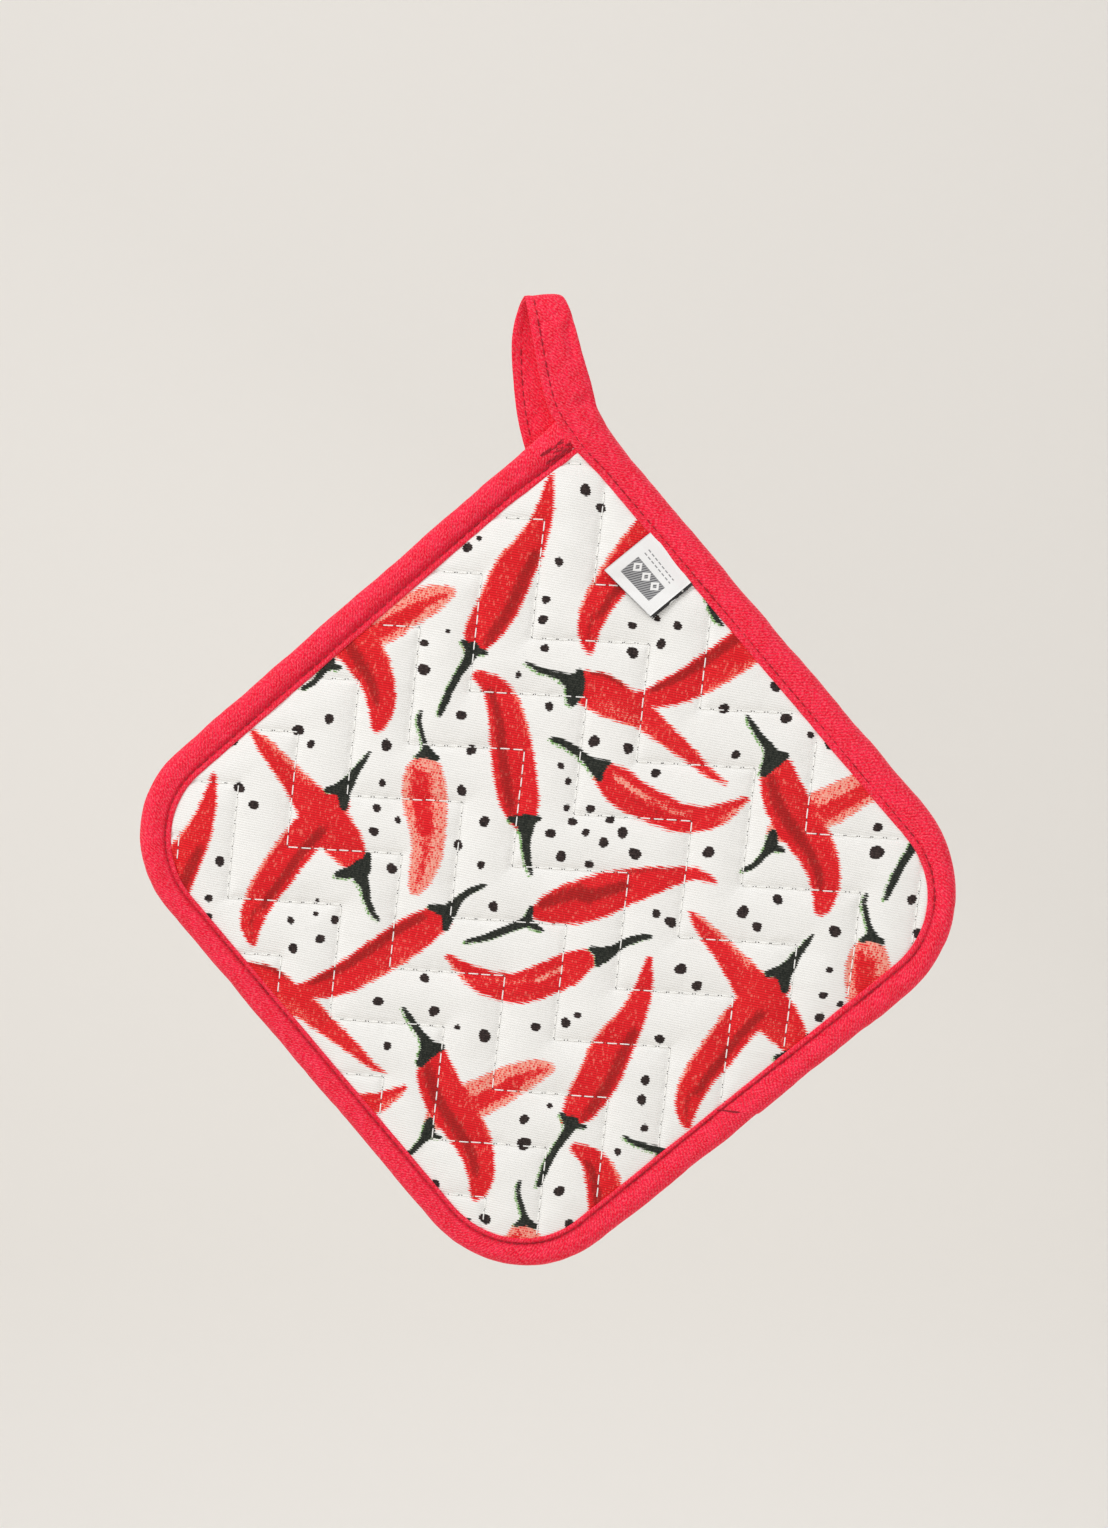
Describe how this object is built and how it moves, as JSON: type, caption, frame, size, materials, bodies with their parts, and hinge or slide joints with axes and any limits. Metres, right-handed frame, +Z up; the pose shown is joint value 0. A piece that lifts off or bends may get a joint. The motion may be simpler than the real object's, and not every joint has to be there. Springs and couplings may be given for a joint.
{
  "type": "pot holder",
  "caption": "Square quilted cotton pot holder with a printed cover, tape binding and a corner hanging loop.",
  "frame": {"origin": "inside top of the hanging loop, where it rests on a hook", "axes": "+Z up with the pad hanging by its corner, -Y out of the printed front, +X to the right as seen from the front"},
  "size_m": [0.256, 0.0101, 0.3054],
  "materials": {
    "printed_cotton": "white cotton twill printed with red peppers, dark stems and black dots",
    "batting": "needled cotton batting",
    "binding_tape": "crimson cotton bias tape",
    "red_thread": "dark red sewing thread",
    "white_thread": "white sewing thread",
    "label_satin": "white woven satin with a grey geometric pattern",
    "care_satin": "black woven edge on white satin"
  },
  "bodies": {
    "loop": {"hanging_loop": "binding_tape", "loop_stitching": "red_thread"},
    "pad": {"front_cover": "printed_cotton", "batting_front_ply": "batting", "batting_back_ply": "batting", "back_cover": "printed_cotton", "binding_left": "binding_tape", "binding_right": "binding_tape", "binding_join_seam": "red_thread", "binding_topstitch": "red_thread", "quilting_thread_front": "white_thread", "quilting_thread_back": "white_thread", "loop_bar_tack": "red_thread"},
    "label": {"side_label": "label_satin", "care_label": "care_satin"}
  },
  "joints": [
    {"name": "loop_flex", "type": "hinge", "parent": "loop", "child": "pad", "pos_m": [0.01344, 0, -0.03512], "axis": [1, 0, 0], "range_deg": [-110, 110]},
    {"name": "label_flip", "type": "hinge", "parent": "pad", "child": "label", "pos_m": [0.03977, -0.00495, -0.07989], "axis": [-0.6441, 0, 0.7649], "range_deg": [0, 150]}
  ]
}
